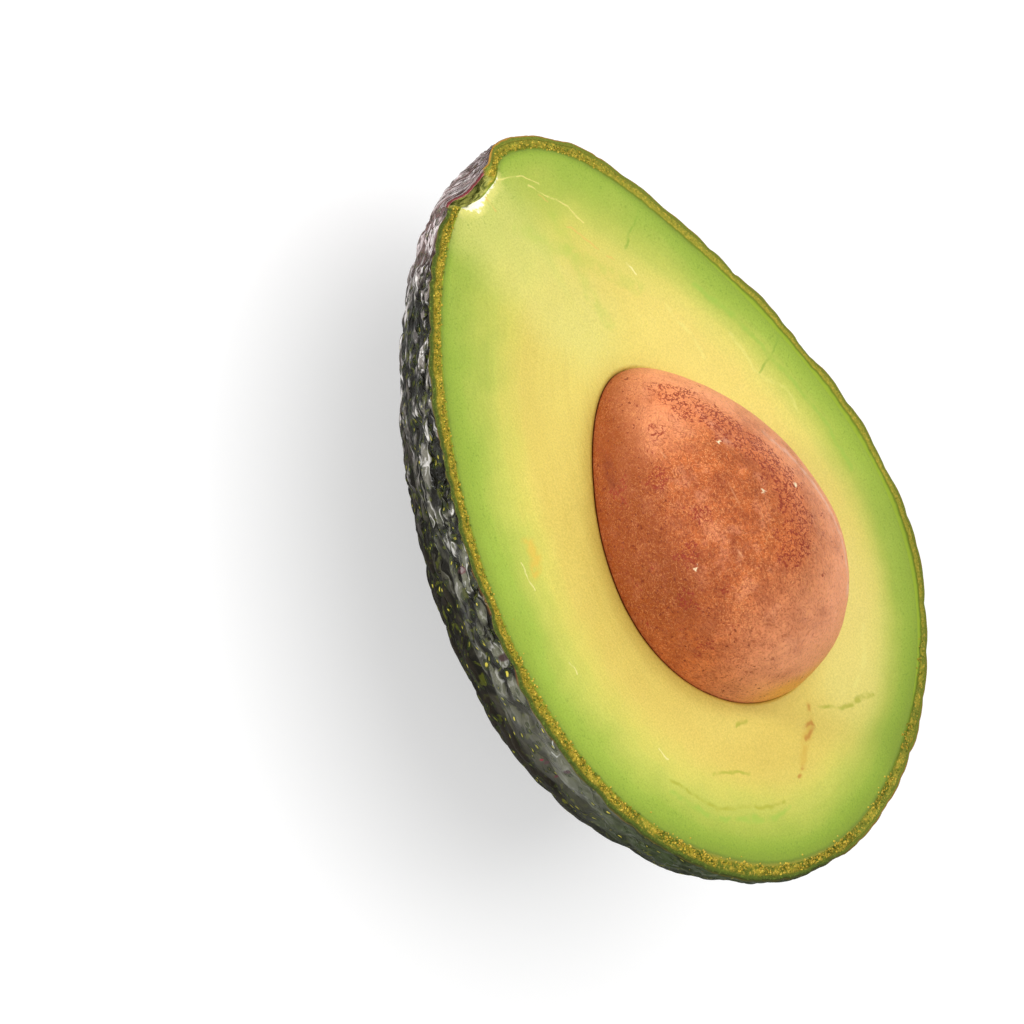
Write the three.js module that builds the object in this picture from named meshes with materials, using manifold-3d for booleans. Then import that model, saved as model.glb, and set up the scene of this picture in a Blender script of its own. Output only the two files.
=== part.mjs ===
/**
 * Half of a ripe avocado, cut lengthwise through its stem scar, with the seed still in place.
 *
 * The half lies on its back: the cut face looks up, and the belly rests on a small flat spot
 * whose centre is the origin. Units are millimetres and +Z is up. Skin, flesh and seed are
 * three solids that never touch: a hair's breadth is left between them.
 *
 * Everything is drawn in the fruit's own frame and then tilted as a whole. There, x runs from
 * the stem end (-) to the blossom end (+), y goes across the cut face, the cut face is the
 * plane z = 0 and the belly hangs below it.
 */
import * as THREE from "three";
import { mergeVertices } from "three/addons/utils/BufferGeometryUtils.js";
import Module from "manifold-3d";

// The fruit. At a station u its girth is sin(u) times a short cosine series, so that both
// ends are round, the belly is full and the neck is slim.
const FRUIT_LENGTH = 105;
const GIRTH = { mean: 33.4, belly: 5.1, waist: -0.6, shoulder: -1.0 };
const NECK_LEAN = 3.5; // how far the centre line swings aside at either end
const REST_TILT = 8; // degrees that the slim neck dips when the half balances on its belly
const FLAT_DEPTH = 0.45; // what the rest flattens of the belly
const FLAT_CLEARING = 7; // the pebbles fade out this close to the middle of the flat spot

// The layers.
const SKIN_THICKNESS = 1.9;
const GAP = 0.3;

// The pebbled skin: one rounded pebble for each cell of a jittered lattice.
const PEBBLE = { length: 6.2, width: 4.6, height: 0.8, reach: 0.85, mean: 0.5 };

// The stem scar, a dimple beside the tip, and the hole that the stalk left in it.
const SCAR = { x: -51.6, y: -1.6, depth: 2.1, radius: 4.3 };
const STALK_HOLE = { x: -49.9, y: -2.9, halfWidth: 4.2, depth: 3.4, belowCut: 2 };

// The seed, an egg whose slim end points to the stem.
const SEED_LENGTH = 48.2;
const SEED_GIRTH = { mean: 15.8, belly: 3.1, waist: -0.8 };
const SEED_PLACE = { x: 6, y: 2.5, turn: -1.5 };

// How finely each surface is divided.
const SKIN_STEPS = { along: 76, around: 52 };
const INNER_STEPS = { along: 36, around: 26 };
const SEED_STEPS = { along: 26, around: 40 };
const HOLE_STEPS = { along: 10, around: 16 };

const MATERIALS = {
  skin: { color: 0x2b3022, roughness: 0.35 },
  flesh: { color: 0xdfd973, roughness: 0.5 },
  seed: { color: 0xa35a31, roughness: 0.55 },
};

const HALF_TURN = Math.PI;
const CAP_OVERSHOOT = 5; // a cutting solid stands this far above the cut face
const TABLE_SIZE = 240;
const CONTACT_STEP = 0.001; // of a station, in the search for the lowest point
const SAME_POINT = 1e-4;
const HASH = { i: 127.1, j: 311.7, k: 74.7, salt: 269.5, scale: 43758.5453 };

const solidFactory = await Module();
solidFactory.setup();

/** The fruit's girth, and how fast it changes, at station u (0 blossom end, pi stem end). */
function girthAt(u) {
  const { mean, belly, waist, shoulder } = GIRTH;
  const fullness =
    mean + belly * Math.cos(u) + waist * Math.cos(2 * u) + shoulder * Math.cos(3 * u);
  const change =
    -belly * Math.sin(u) - 2 * waist * Math.sin(2 * u) - 3 * shoulder * Math.sin(3 * u);
  return {
    radius: Math.sin(u) * fullness,
    slope: Math.cos(u) * fullness + Math.sin(u) * change,
  };
}

/** A point of the smooth fruit and its outward normal. The roll is 0 and pi in the cut face. */
function smoothPoint(u, roll) {
  const halfLength = FRUIT_LENGTH / 2;
  const x = halfLength * Math.cos(u);
  const along = -halfLength * Math.sin(u);
  const lean = -NECK_LEAN * (x / halfLength) ** 3;
  const leanSlope = (-3 * NECK_LEAN * (x / halfLength) ** 2) / halfLength;
  const { radius, slope } = girthAt(u);
  const point = new THREE.Vector3(
    x,
    lean + radius * Math.cos(roll),
    -radius * Math.sin(roll),
  );
  const normal = new THREE.Vector3(
    slope + Math.cos(roll) * leanSlope * along,
    -along * Math.cos(roll),
    along * Math.sin(roll),
  ).normalize();
  return { point, normal };
}

/** A repeatable random number from 0 to 1 for one cell of the pebble lattice. */
function cellRandom(i, j, k, salt) {
  const phase = i * HASH.i + j * HASH.j + k * HASH.k + salt * HASH.salt;
  const value = Math.sin(phase) * HASH.scale;
  return value - Math.floor(value);
}

/** How far the pebbles raise the skin at a point: a dome round each cell's jittered middle. */
function pebbleRelief(point) {
  const cell = [point.x / PEBBLE.length, point.y / PEBBLE.width, point.z / PEBBLE.width];
  const base = cell.map(Math.floor);
  let nearest = Infinity;
  for (let i = base[0] - 1; i <= base[0] + 1; i++)
    for (let j = base[1] - 1; j <= base[1] + 1; j++)
      for (let k = base[2] - 1; k <= base[2] + 1; k++)
        nearest = Math.min(
          nearest,
          Math.hypot(
            i + cellRandom(i, j, k, 1) - cell[0],
            j + cellRandom(i, j, k, 2) - cell[1],
            k + cellRandom(i, j, k, 3) - cell[2],
          ),
        );
  const dome = 1 - Math.min(1, nearest / PEBBLE.reach) ** 2;
  return PEBBLE.height * (dome - PEBBLE.mean);
}

/** How far the stem scar draws the surface in at a point. */
function scarDimple(point) {
  const distance = Math.hypot(point.x - SCAR.x, point.y - SCAR.y, point.z);
  return SCAR.depth * Math.exp(-((distance / SCAR.radius) ** 4));
}

/** The lowest point of the belly once the fruit is tilted: where the half touches down. */
function findContact() {
  const tilt = THREE.MathUtils.degToRad(REST_TILT);
  let lowest = { height: Infinity };
  for (let u = 0; u <= HALF_TURN; u += CONTACT_STEP) {
    const { point } = smoothPoint(u, HALF_TURN / 2);
    const height = point.x * Math.sin(tilt) + point.z * Math.cos(tilt);
    if (height < lowest.height) lowest = { height, point };
  }
  return lowest.point;
}
const contact = findContact();

/** A point of the surface that lies `inset` inside the skin. Only the skin itself is pebbled. */
function layerPoint(u, roll, inset) {
  const { point, normal } = smoothPoint(u, roll);
  let raise = -inset - scarDimple(point);
  if (inset === 0) {
    const fade = THREE.MathUtils.smoothstep(
      point.distanceTo(contact),
      FLAT_CLEARING / 2,
      FLAT_CLEARING,
    );
    raise += fade * pebbleRelief(point);
  }
  return point.addScaledVector(normal, raise);
}

/** Turns a closed geometry into a manifold-3d solid. */
function toSolid(geometry) {
  const bare = new THREE.BufferGeometry();
  bare.setAttribute("position", geometry.getAttribute("position"));
  bare.setIndex(geometry.index);
  const merged = mergeVertices(bare, SAME_POINT);
  const corners = merged.index.array;
  const kept = [];
  for (let i = 0; i < corners.length; i += 3) {
    const [a, b, c] = corners.subarray(i, i + 3);
    if (a !== b && b !== c && c !== a) kept.push(a, b, c);
  }
  return new solidFactory.Manifold(
    new solidFactory.Mesh({
      numProp: 3,
      vertProperties: merged.getAttribute("position").array,
      triVerts: new Uint32Array(kept),
    }),
  );
}

/** Turns a manifold-3d solid back into a geometry. */
function toGeometry(solid) {
  const mesh = solid.getMesh();
  return new THREE.BufferGeometry()
    .setAttribute("position", new THREE.BufferAttribute(mesh.vertProperties, mesh.numProp))
    .setIndex(new THREE.BufferAttribute(mesh.triVerts, 1));
}

/**
 * The half fruit below a flat top, as one closed solid: rows of points that run under the
 * belly from rim to rim, with the top's two edges raised by `topHeight` when it is a cutter.
 */
function halfFruit({ along, around }, inset, topHeight = 0) {
  const rows = [];
  for (let i = 0; i <= along; i++) {
    const u = (HALF_TURN * i) / along;
    const row = [];
    for (let j = 0; j <= around; j++) {
      const point = layerPoint(u, (HALF_TURN * j) / around, inset);
      if (j === 0 || j === around) point.z = 0;
      row.push(point);
    }
    if (topHeight > 0) {
      const lift = new THREE.Vector3(0, 0, topHeight);
      row.unshift(row[0].clone().add(lift));
      row.push(row.at(-1).clone().add(lift));
    }
    rows.push(row);
  }
  const width = rows[0].length;
  const positions = rows.flat().flatMap((point) => point.toArray());
  const indices = [];
  for (let i = 0; i < along; i++)
    for (let j = 0; j < width; j++) {
      const next = (j + 1) % width;
      const [a, b] = [i * width + j, i * width + next];
      const [c, d] = [a + width, b + width];
      indices.push(a, d, c, a, b, d);
    }
  const geometry = new THREE.BufferGeometry();
  geometry.setAttribute("position", new THREE.Float32BufferAttribute(positions, 3));
  geometry.setIndex(indices);
  return geometry;
}

/** The seed, or with `grow` the hollow that it sits in, lying along x. */
function seedGeometry(grow = 0) {
  const profile = [];
  for (let i = 0; i <= SEED_STEPS.along; i++) {
    const v = (HALF_TURN * i) / SEED_STEPS.along;
    const { mean, belly, waist } = SEED_GIRTH;
    const radius = Math.sin(v) * (mean + belly * Math.cos(v) + waist * Math.cos(2 * v));
    const height = (SEED_LENGTH / 2 + grow) * -Math.cos(v);
    profile.push(new THREE.Vector2(radius + grow * Math.sin(v), height));
  }
  const onAxis = [0, SEED_STEPS.along];
  onAxis.forEach((i) => (profile[i].x = 0));
  const egg = new THREE.LatheGeometry(profile, SEED_STEPS.around);
  return egg.rotateZ(HALF_TURN / 2);
}

/** The hole that the stalk left, as the solid that is cut away. */
function stalkHoleGeometry() {
  const { x, y, halfWidth, depth, belowCut } = STALK_HOLE;
  const ball = new THREE.SphereGeometry(1, HOLE_STEPS.around, HOLE_STEPS.along);
  ball.scale(depth, halfWidth, belowCut);
  ball.rotateZ(Math.atan2(-y, -x));
  return ball.translate(x, y, 0);
}

/** The table that flattens the belly, in the fruit's own frame. */
function tableGeometry() {
  const block = new THREE.BoxGeometry(TABLE_SIZE, TABLE_SIZE, TABLE_SIZE);
  block.translate(0, 0, FLAT_DEPTH - TABLE_SIZE / 2);
  block.rotateY(THREE.MathUtils.degToRad(REST_TILT));
  return block.translate(...contact.toArray());
}

function makeSkin() {
  const outside = toSolid(halfFruit(SKIN_STEPS, 0));
  const inside = toSolid(halfFruit(INNER_STEPS, SKIN_THICKNESS, CAP_OVERSHOOT));
  return toGeometry(
    outside
      .subtract(inside)
      .subtract(toSolid(stalkHoleGeometry()))
      .subtract(toSolid(tableGeometry())),
  );
}

function makeFlesh() {
  const body = toSolid(halfFruit(INNER_STEPS, SKIN_THICKNESS + GAP));
  const hollow = placeSeed(seedGeometry(GAP));
  return toGeometry(
    body.subtract(toSolid(hollow)).subtract(toSolid(stalkHoleGeometry())),
  );
}

/** Moves a geometry that was drawn round the seed's own middle to where the seed lies. */
function placeSeed(geometry) {
  geometry.rotateZ(THREE.MathUtils.degToRad(SEED_PLACE.turn));
  return geometry.translate(SEED_PLACE.x, SEED_PLACE.y, 0);
}

function addPiece(parent, name, geometry) {
  const material = new THREE.MeshStandardMaterial({ ...MATERIALS[name], metalness: 0 });
  const mesh = new THREE.Mesh(geometry, material);
  mesh.name = name;
  parent.add(mesh);
  return mesh;
}

/** Tilts the fruit as it balances, and stands the middle of its flat spot on the origin. */
function layDown(fruit) {
  fruit.rotation.y = -THREE.MathUtils.degToRad(REST_TILT);
  const touch = contact.clone().applyEuler(fruit.rotation);
  fruit.position.set(-touch.x, -touch.y, -touch.z - FLAT_DEPTH);
}

const fruit = new THREE.Group();
addPiece(fruit, "skin", makeSkin());
addPiece(fruit, "flesh", makeFlesh());
const seed = addPiece(fruit, "seed", seedGeometry());
seed.position.set(SEED_PLACE.x, SEED_PLACE.y, 0);
seed.rotation.z = THREE.MathUtils.degToRad(SEED_PLACE.turn);
layDown(fruit);

const avocadoHalf = new THREE.Group();
avocadoHalf.add(fruit);

export default avocadoHalf;
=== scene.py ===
"""The looks of an avocado half with its seed: fine skin, cut flesh and seed round the frame.

Shapes are drawn in the fruit's own frame, in millimetres, as the frame's solids are: x runs
from the stem end (-) to the blossom end (+), y goes across the cut face, which is the plane
z = 0, and the belly hangs below. PLACE tilts a shape as the half lies and turns it into
metres. The meshes carry attributes that the materials draw their markings from.
"""

import functools
import itertools
from types import SimpleNamespace

import bmesh
import bpy
import numpy as np
from mathutils import Matrix, Vector


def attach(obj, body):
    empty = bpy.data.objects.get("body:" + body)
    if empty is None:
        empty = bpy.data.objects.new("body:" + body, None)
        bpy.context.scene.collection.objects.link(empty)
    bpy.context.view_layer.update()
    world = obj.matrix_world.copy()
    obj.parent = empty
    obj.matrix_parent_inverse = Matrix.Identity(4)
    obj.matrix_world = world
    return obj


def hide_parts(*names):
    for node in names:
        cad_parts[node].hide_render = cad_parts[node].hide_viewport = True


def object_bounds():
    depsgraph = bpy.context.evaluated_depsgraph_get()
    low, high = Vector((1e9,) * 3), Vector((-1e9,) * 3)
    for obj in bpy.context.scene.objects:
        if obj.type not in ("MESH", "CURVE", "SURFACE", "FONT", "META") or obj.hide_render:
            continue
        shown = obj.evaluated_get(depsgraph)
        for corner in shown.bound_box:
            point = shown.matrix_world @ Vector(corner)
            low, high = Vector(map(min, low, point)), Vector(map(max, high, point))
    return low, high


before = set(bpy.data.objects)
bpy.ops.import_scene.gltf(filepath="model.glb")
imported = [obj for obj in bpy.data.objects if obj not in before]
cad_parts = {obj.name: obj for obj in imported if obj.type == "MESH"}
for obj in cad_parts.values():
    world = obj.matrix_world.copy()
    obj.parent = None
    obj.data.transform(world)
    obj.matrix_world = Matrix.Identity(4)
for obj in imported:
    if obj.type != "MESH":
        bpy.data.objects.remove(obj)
cad_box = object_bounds()

# The fruit, as its solids have it.
FRUIT_LENGTH = 105
GIRTH = (33.4, 5.1, -0.6, -1)  # cosine series of the fullness, blossom end first
NECK_LEAN = 3.5
REST_TILT = 8  # degrees
FLAT_DEPTH = 0.45
FLAT_CLEARING = 7  # how far from the flat spot the relief starts
SKIN = 1.9  # thickness
TYPICAL_RADIUS = 24  # round the fruit's length
TYPICAL_ARC = 40  # round the cut face
PEBBLE = {"size": (6.2, 4.6, 4.6), "reach": 0.85, "mean": 0.5, "height": 0.8}
SCAR = {"x": -51.6, "y": -1.6, "depth": 2.1, "radius": 4.3}
HOLE_DEPTH = 2.1
SEED_LENGTH = 48.2
SEED_GIRTH = (15.8, 3.1, -0.8)
SEED_PLACE = {"x": 6, "y": 2.5, "turn": -1.5}

# Detail that only these meshes have.
GROOVE = {"size": (6.5, 2.9, 2.9), "width": 0.35, "depth": 0.34, "mean": 0.08}
GROOVE_WARP = {"size": 6, "reach": 1.5}
BUTTON = {"size": (3.4, 2.4, 2.4), "reach": 0.8, "mean": 0.5, "height": 0.16}
RIB = {"depth": 0.55, "cycles": 9, "length": 7, "from_x": 10, "full_x": -40}
NECK = {"from_x": -20, "full_x": -44, "smoothing": 0.6}  # pebbles are lower there
FINE_SHARE = {"edge": 0.35, "blossom": 0.4}  # of the fine relief, where it is least
EDGE_ROUNDING = 0.2
HOLE_SIDES = ((0, 1, 1.1), (0.917, 0.399, -44.2), (0.822, -0.571, -36.2))
HOLE_SLOPE = (-0.1, 0.7)  # where its wall starts and ends, inside its edge
LIP = {"height": 1.3, "width": 0.6, "slope": (-0.5, 0.2)}  # torn peel behind the hole
SEAT_ROUNDING = 0.3
SEAT_GAP = 0.04
SEAT_FLOOR_GAP = 0.1
FLESH_OVERLAP = 0.02  # how far the cut face reaches into the skin
FLESH_GAP = 0.15  # between skin and flesh behind the cut face
RING_SHIFT = 0.03  # how unevenly the cut face's rings are spaced

# Layers of noise, each with its height and size.
HOLE_RAGGED = ((0.3, 0.9), (0.16, 0.45))
RIM_GRAIN = ((1, 0.7), (0.6, 0.4))
CUT_WAVES = ((0.12, 9), (0.03, 2.5))  # that the knife left in the cut face
RIM_CRUMB = {"height": 0.16, "mean": 0.7, "least": 0.3}
SEED_RELIEF = ((0.2, (7, 7, 7)), (0.04, (3, 0.9, 0.9)))

SKIN_STEPS = {"along": 350, "around": 216, "rim": 12, "inner": 10}
CRUMB = {"count": 4400, "depth": 1.35, "spread": 0.3, "size": (0.06, 0.17), "least_depth": 0.6}
CRUMB_LUMPS = 0.45  # how far they are from round
STRAY = {"count": 60, "reach": 0.9, "tint": 0.9}  # crumbs that fell on the flesh
BLOSSOM_CRUMBS = {"deeper": 0.1, "bigger": 0.1, "from_x": 26}
CRUMB_STEPS = {"along": 4, "around": 8}
FLESH_STEPS = {"turn": 640, "across": 104, "hidden": 14}
SEED_STEPS = {"along": 240, "around": 320}
WELD = {"points": 2e-7, "slivers": 1e-8}  # metres
HASH = {"cell": (127.1, 311.7, 74.7), "salt": 269.5, "scale": 43758.5453}  # for random numbers
CUT_ANGLE = 60  # edges that turn by more degrees stay sharp

# The camera, in millimetres and degrees in the row's frame.
CAMERA = {
    "aim": (-16.326, -22.62, 31.744), "distance": 664.969, "lens": 180,
    "azimuth": -21.828, "elevation": 53.212, "roll": 82.645,
}

# Each light's direction, size in metres and power.
LIGHTS = {
    "key": ((-0.15, 0.42, 0.9), 1.5, 8.2),
    "side": ((-0.8, -0.65, 0.1), 0.22, 7.5),
    "front": ((0, -1, 0.15), 0.3, 3),
}
LIT_POINT = (0, 0, 0.03)
WORLD_STRENGTH = 0.52
FLOOR = {"size": 8, "colour": (0.62, 0.62, 0.62, 1), "glow": 0.42}
WHITE = (1, 1, 1, 1)
MM = 0.001


def vectors(*parts):
    """Vectors from their x, y and z, which are stretched to one shape."""
    return np.stack(np.broadcast_arrays(*parts), -1)


def length(vector):
    return np.linalg.norm(vector, axis=-1)


def unit(vector):
    return vector / length(vector)[..., None]


def series(weights, turn):
    """A cosine series and its slope."""
    value = sum(w * np.cos(k * turn) for k, w in enumerate(weights))
    slope = sum(-k * w * np.sin(k * turn) for k, w in enumerate(weights))
    return value, slope


def rise(value, low, high):
    """A smooth step from 0 at low to 1 at high."""
    part = np.clip((value - low) / (high - low), 0, 1)
    return part * part * (3 - 2 * part)


def smooth_fruit(u, roll):
    """Points and outward normals of the smooth fruit, at station u and roll."""
    half = FRUIT_LENGTH / 2
    x = half * np.cos(u)
    along = -half * np.sin(u)
    lean = -NECK_LEAN * (x / half) ** 3
    lean_slope = -3 * NECK_LEAN * (x / half) ** 2 / half
    fullness, change = series(GIRTH, u)
    radius = np.sin(u) * fullness
    slope = np.cos(u) * fullness + np.sin(u) * change
    across, hang = np.cos(roll), np.sin(roll)
    point = vectors(x, lean + radius * across, -radius * hang)
    normal = vectors(slope + across * lean_slope * along, -along * across, along * hang)
    return point, unit(normal)


def cell_random(cell, salt):
    """A repeatable number from 0 to 1 for each cell; salt picks the pattern."""
    value = HASH["scale"] * np.sin(cell @ np.array(HASH["cell"]) + salt * HASH["salt"])
    return value - np.floor(value)


def cell_distances(point, size, salt=0):
    """Distances, in cells, to the two nearest middles of a jittered lattice."""
    place = point / np.array(size)
    base = np.floor(place)
    nearest = np.full(point.shape[:-1], np.inf)
    following = nearest.copy()
    for offset in itertools.product((-1, 0, 1), repeat=3):
        cell = base + np.array(offset)
        middle = cell + vectors(*(cell_random(cell, salt + k) for k in (1, 2, 3)))
        distance = length(middle - place)
        following = np.minimum(following, np.maximum(nearest, distance))
        nearest = np.minimum(nearest, distance)
    return nearest, following


def pebble_relief(point, pebble, salt=0):
    """How far domed pebbles, one for each cell, raise the skin."""
    nearest, _ = cell_distances(point, pebble["size"], salt)
    dome = 1 - np.minimum(1, nearest / pebble["reach"]) ** 2
    return pebble["height"] * (dome - pebble["mean"])


def value_noise(place, salt=0):
    """Smooth noise from -1 to 1 that swings once for each unit of place."""
    base = np.floor(place)
    part = place - base
    part = part * part * (3 - 2 * part)
    total = 0
    for corner in itertools.product((0, 1), repeat=3):
        weight = np.prod(np.where(np.array(corner) == 1, part, 1 - part), axis=-1)
        total = total + weight * cell_random(base + np.array(corner), 10 + salt)
    return 2 * total - 1


def flat_noise(point, size, salt=0):
    """Smooth noise over the cut face."""
    x, y = point[..., 0], point[..., 1]
    return value_noise(vectors(x, y, 0 * x) / size, salt)


def layered_noise(point, layers, salt=0):
    """Layers of noise over the cut face, each given as its height and size."""
    return sum(h * flat_noise(point, size, salt + k) for k, (h, size) in enumerate(layers))


def contact_point():
    """The lowest point of the belly once the fruit is tilted."""
    u = np.linspace(0, np.pi, 6001)
    point, _ = smooth_fruit(u, np.pi / 2)
    tilt = np.radians(REST_TILT)
    height = point[:, 0] * np.sin(tilt) + point[:, 2] * np.cos(tilt)
    return point[np.argmin(height)]


CONTACT = contact_point()


def place_matrix():
    """From the fruit's frame in millimetres to the row's frame in metres."""
    tilt = Matrix.Rotation(-np.radians(REST_TILT), 4, "Y")
    touch = tilt @ Vector(CONTACT)
    drop = Vector((0, 0, FLAT_DEPTH))
    return Matrix.Scale(MM, 4) @ Matrix.Translation(-touch - drop) @ tilt


PLACE = np.array(place_matrix())


def scar_distance(point):
    return length(point - np.array([SCAR["x"], SCAR["y"], 0]))


def scar_dimple(point):
    """How deep the stalk's scar is sunk into the skin."""
    return SCAR["depth"] * np.exp(-((scar_distance(point) / SCAR["radius"]) ** 4))


def grooves(point):
    """Narrow winding grooves between smooth plateaus that are longer than wide."""
    warp = vectors(*(value_noise(point / GROOVE_WARP["size"], 30 + k) for k in range(3)))
    wound = point + GROOVE_WARP["reach"] * warp
    nearest, following = cell_distances(wound, GROOVE["size"], 40)
    deep = 1 - rise(following - nearest, 0, GROOVE["width"])
    return GROOVE["mean"] - GROOVE["depth"] * deep


def ribs(u, roll, x):
    """Creases that run along the fruit and gather towards the stem end."""
    strength = rise(-x, -RIB["from_x"], -RIB["full_x"])
    along = u * FRUIT_LENGTH / 2 / RIB["length"]
    depth = 0
    for octave in (1, 2):
        turn = octave * (roll * RIB["cycles"] + 0.5 * np.sin(along))
        noise = value_noise(vectors(octave * along, turn, octave), 5)
        depth = depth - (1 - np.abs(noise)) ** 3 / octave
    return RIB["depth"] * (0.1 + 0.9 * strength) * (depth / 1.5 + 0.3)


def fruit_layer(u, roll, inset, relief_share=0):
    """A surface `inset` inside the solid skin, with a share of the solid's relief."""
    point, normal = smooth_fruit(u, roll)
    raised = -inset - scar_dimple(point)
    if np.any(relief_share):
        raised = raised + relief_share * clearing(point) * pebble_relief(point, PEBBLE)
    return point + normal * raised[..., None]


def clearing(point):
    """1 all over the skin, falling to 0 round the spot the half rests on."""
    return rise(length(point - CONTACT), FLAT_CLEARING / 2, FLAT_CLEARING)


def coarseness(roll, point):
    """The share of the fine relief: less at the +y edge, the blossom end and the scar."""
    edge, blossom = FINE_SHARE["edge"], FINE_SHARE["blossom"]
    side = edge + (1 - edge) * rise(roll, 0.2, 1.2)
    end = 1 - (1 - blossom) * rise(point[..., 0], 0, 30)
    return side * end * rise(scar_distance(point), 1, 10)


def outer_skin(u, roll):
    """The skin's outside with all its relief, and how far its fine relief stands out."""
    smooth, normal = smooth_fruit(u, roll)
    x = smooth[..., 0]
    fine = grooves(smooth) + pebble_relief(smooth, BUTTON, 20)
    fine = (fine + ribs(u, roll, x)) * coarseness(roll, smooth)
    neck = rise(x, NECK["from_x"], NECK["full_x"])
    point = fruit_layer(u, roll, 0, 1 - NECK["smoothing"] * neck)
    return point + normal * (clearing(smooth) * fine)[..., None], fine


def hole_distance(point):
    """How far a point of the cut face is from the torn edge of the stalk's hole."""
    x, y = point[..., 0], point[..., 1]
    sides = [a * x + b * y - c for a, b, c in HOLE_SIDES]
    return np.max(sides, axis=0) + layered_noise(point, HOLE_RAGGED)


def cut_height(point):
    """The height of the cut through skin and flesh: level, but for the stalk's hole."""
    return -HOLE_DEPTH * rise(-hole_distance(point), *HOLE_SLOPE)


def lip_height(point):
    """How low the skin is torn down behind the stalk's hole."""
    return -LIP["height"] * rise(-hole_distance(point), *LIP["slope"])


def rounding(distance, radius):
    """How far an edge rounded by `radius` has dropped at a distance in from its side."""
    left = np.clip(radius - distance, 0, radius)
    return radius - np.sqrt(radius**2 - left**2)


def ruggedness(point):
    """How crumbly the cut edge is: least along the middle of the +y side."""
    x, y = point[..., 0], point[..., 1]
    side = rise(-y, -12, 2)
    blossom = 0.9 * rise(x, 32, 46)
    stem = 0.6 * rise(-x, 34, 46)
    return np.maximum(side, np.maximum(blossom, stem))


def rim_height(point, depth):
    """The cut edge of the skin: crumbly in its middle, rounded outside, torn at the hole."""
    crumb = layered_noise(point, RIM_GRAIN, 3) - RIM_CRUMB["mean"]
    band = rise(depth, 0.5, 0.9) * rise(-depth, -SKIN, -SKIN + 0.4)
    rugged = RIM_CRUMB["least"] + (1 - RIM_CRUMB["least"]) * ruggedness(point)
    inside = rise(depth, LIP["width"], LIP["width"] + 0.2)
    torn = (1 - inside) * lip_height(point) + inside * cut_height(point)
    crumb = RIM_CRUMB["height"] * band * crumb * rugged
    return torn - rounding(depth, EDGE_ROUNDING) + crumb


def rim_points(u, side, depth):
    """Points of the skin's cut edge, at depths in from the outside; side is a roll."""
    side = side + 0 * u
    edge, _ = outer_skin(u, side)
    within = fruit_layer(u, side, SKIN)
    point = edge + (within - edge) * depth[..., None] / SKIN
    point[..., 2] = rim_height(point, depth)
    return point


def skin_rows():
    """Rings of points round the skin, one for each station, with their attributes."""
    steps = SKIN_STEPS
    u = np.linspace(0, np.pi, steps["along"] + 1)[:, None]
    roll = np.linspace(0, np.pi, steps["around"] + 1)[None, :]
    outer, relief = outer_skin(u, roll)
    highest = lip_height(outer) - EDGE_ROUNDING
    outer[..., 2] = np.minimum(outer[..., 2], highest)

    depth = SKIN * np.arange(1, steps["rim"] + 1)[None, :] / steps["rim"]
    rims = [rim_points(u, side, depth) for side in (np.pi, 0)]
    inner_roll = np.linspace(np.pi, 0, steps["inner"] + 2)[None, 1:-1]
    inner = fruit_layer(u, inner_roll, SKIN)
    inner[..., 2] = np.minimum(inner[..., 2], -HOLE_DEPTH)

    points = np.concatenate([outer, rims[0], inner, rims[1][:, ::-1]], 1)
    rim = depth + 0 * u
    depths = [np.zeros(relief.shape), rim, SKIN + 0 * inner[..., 0], rim[:, ::-1]]
    depths = np.concatenate(depths, 1)
    surface = np.zeros(points.shape)
    surface[:, : roll.size] = vectors(u * FRUIT_LENGTH / 2, roll * TYPICAL_RADIUS, relief)
    values = {"fruit": points, "surface": surface, "depth": depths}
    values.update({"hole": hole_distance(points), "rugged": ruggedness(points)})
    return points, values


def crumb_places():
    """Where the crumbs lie on the skin's cut edge, their radius and a tint by chance."""
    chance = np.random.default_rng(7)
    count, strays = CRUMB["count"], STRAY["count"]
    u = chance.uniform(0, np.pi, count)
    side = np.pi * chance.integers(0, 2, count)
    depth = chance.normal(CRUMB["depth"], CRUMB["spread"], count)
    depth += BLOSSOM_CRUMBS["deeper"] * rise(np.cos(u), 0.5, 0.8)
    depth[:strays] += chance.exponential(STRAY["reach"], strays)
    middle = rim_points(u, side, depth)
    x, rugged = middle[:, 0], ruggedness(middle)
    size = chance.uniform(*CRUMB["size"], count) * (0.6 + 0.4 * rugged)
    size = size * (1 + BLOSSOM_CRUMBS["bigger"] * rise(x, 0, 30))
    kept = (depth > CRUMB["least_depth"]) & (hole_distance(middle) > 0.5)
    kept &= (flat_noise(middle, 1.8, 2) > -0.15) | (x < BLOSSOM_CRUMBS["from_x"])
    stray_ground = (rugged > 0.8) & (x > -5)
    kept &= (rugged > chance.uniform(0, 1, count)) & ((depth < SKIN) | stray_ground)
    middle, size, depth = middle[kept], size[kept], depth[kept]
    tint = np.where(depth > SKIN, STRAY["tint"], chance.uniform(0, 1, len(size)))
    return middle, size, tint


def crumb_rows():
    """Small lumps of torn peel along its cut edge, and a few on the flesh."""
    middle, size, tint = crumb_places()
    middle = middle[:, None, None, :]
    v = np.linspace(0, np.pi, CRUMB_STEPS["along"] + 1)[:, None]
    roll = np.linspace(0, 2 * np.pi, CRUMB_STEPS["around"], endpoint=False)[None, :]
    ball = vectors(np.sin(v) * np.cos(roll), np.sin(v) * np.sin(roll), np.cos(v))
    place = (ball + 10 * middle) * 1.3
    lump = ball * (1 + CRUMB_LUMPS * value_noise(place, 50))[..., None]
    points = middle + size[:, None, None, None] * lump
    return points, tint[:, None, None] + 0 * points[..., 0]


def seed_radius(v):
    """The seed's radius at station v, which is 0 at its blossom end."""
    fullness, _ = series(SEED_GIRTH, v)
    return np.sin(v) * fullness


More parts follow.
